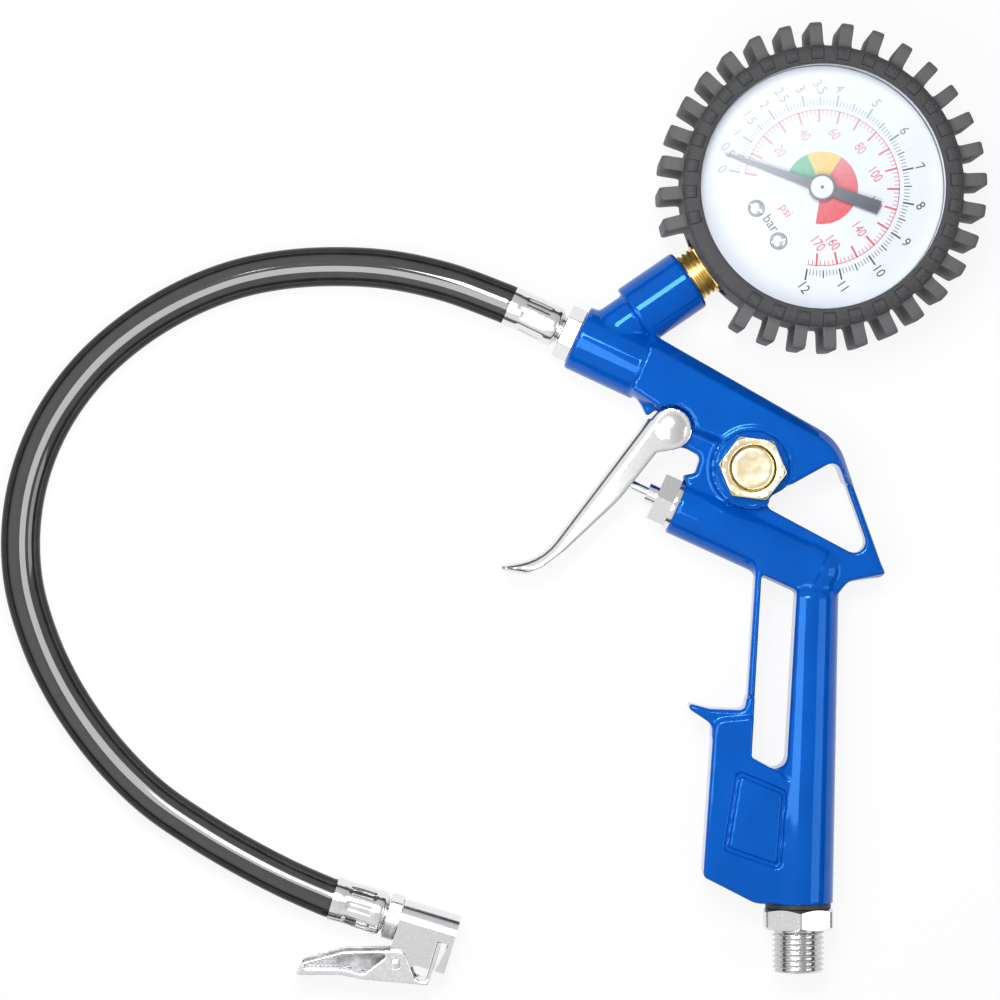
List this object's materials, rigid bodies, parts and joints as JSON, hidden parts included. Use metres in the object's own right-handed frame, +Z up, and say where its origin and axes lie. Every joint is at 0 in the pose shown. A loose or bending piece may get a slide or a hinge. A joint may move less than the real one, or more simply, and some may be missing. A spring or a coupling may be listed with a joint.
{
  "type": "tyre inflator with gauge",
  "caption": "Hand-held air gun for tyres: painted cast body with a trigger, a dial gauge in a toothed rubber boot, a bleed button, and a short hose with a clip-on chuck.",
  "frame": {"origin": "on the table, under the middle of the gun's own outline (gauge, body and inlet), the hose and chuck left out", "axes": "+Z up from the table, square to the gun's flanks; +Y from the inlet towards the gauge; +X from the trigger towards the body's back"},
  "size_m": [0.2451, 0.2386, 0.031],
  "materials": {
    "blue_paint": "gloss",
    "plated": "satin",
    "sheet": "satin",
    "spring_steel": "satin",
    "brass": "satin",
    "rubber": "matte",
    "hose_black": "satin",
    "clear": "gloss",
    "dial_white": "matte",
    "pointer_grey": "satin",
    "cap_white": "gloss"
  },
  "bodies": {
    "gun": {"body_casting": "blue_paint", "inlet_nipple": "plated", "inlet_seal": "rubber", "valve_gland": "plated", "gland_seal": "rubber", "valve_spring": "spring_steel", "trigger_pin": "plated", "bleed_nut": "brass", "bleed_seat": "brass", "bleed_spring": "spring_steel", "gauge_socket": "brass", "gauge_case": "spring_steel", "gauge_boot": "rubber", "lens_ring": "rubber", "gauge_lens": "clear", "gauge_dial": "dial_white", "dial_screws": "plated", "hairspring": "spring_steel", "bourdon_tube": "brass", "movement_back": "brass", "movement_front": "brass", "hose_fitting": "plated", "gun_ferrule": "plated", "hose": "hose_black", "chuck_ferrule": "plated", "chuck_tail": "plated", "chuck_body": "plated", "chuck_seal": "rubber", "depressor_pin": "brass", "clip_pin": "sheet", "clip_spring": "spring_steel"},
    "trigger": {"trigger": "plated"},
    "valve": {"valve_stem": "plated", "valve_poppet": "brass", "valve_seal": "rubber"},
    "bleed": {"bleed_button": "brass", "bleed_seal": "rubber"},
    "sector": {"sector_gear": "brass"},
    "pointer": {"pointer": "pointer_grey", "pointer_cap": "cap_white", "pinion": "brass"},
    "link": {"link": "spring_steel", "tube_tip": "brass"},
    "lever": {"clip_lever": "sheet"}
  },
  "joints": [
    {"name": "trigger_pull", "type": "hinge", "parent": "gun", "child": "trigger", "pos_m": [-0.01731, 0.01797, 0.00982], "axis": [0, 0, 1], "range_deg": [0, 12], "stiffness_Nm_per_rad": 1, "springref_deg": -5.73},
    {"name": "valve_push", "type": "slide", "parent": "gun", "child": "valve", "axis": [0.91, -0.4147, 0], "range_m": [0, 0.00401], "deforming": ["valve_spring"]},
    {"name": "bleed_press", "type": "slide", "parent": "gun", "child": "bleed", "axis": [0, 0, -1], "range_m": [0, 0.0015], "stiffness_N_per_m": 1200, "springref_m": -0.002, "deforming": ["bleed_spring"]},
    {"name": "sector_turn", "type": "hinge", "parent": "gun", "child": "sector", "pos_m": [0.02952, 0.08409, 0.018], "axis": [0, 0, 1], "range_deg": [0, 30], "stiffness_Nm_per_rad": 0.002},
    {"name": "pointer_turn", "type": "hinge", "parent": "gun", "child": "pointer", "pos_m": [0.01961, 0.07733, 0.02], "axis": [0, 0, 1], "range_deg": [-270, 0], "deforming": ["hairspring"]},
    {"name": "tube_uncurl", "type": "hinge", "parent": "gun", "child": "link", "pos_m": [0.01172, 0.06161, 0.00982], "axis": [0, 0, 1], "range_deg": [0, 4.1], "deforming": ["bourdon_tube"]},
    {"name": "clip_press", "type": "hinge", "parent": "gun", "child": "lever", "pos_m": [-0.08582, -0.11556, 0.0068], "axis": [0, 0, 1], "range_deg": [-10, 0], "stiffness_Nm_per_rad": 0.3, "springref_deg": 5.73}
  ],
  "couplings": [
    {"joint": "valve_push", "follows": "trigger_pull", "m_per_rad": 0.018686},
    {"joint": "pointer_turn", "follows": "sector_turn", "ratio": -9},
    {"joint": "tube_uncurl", "follows": "sector_turn", "ratio": 0.13479}
  ]
}
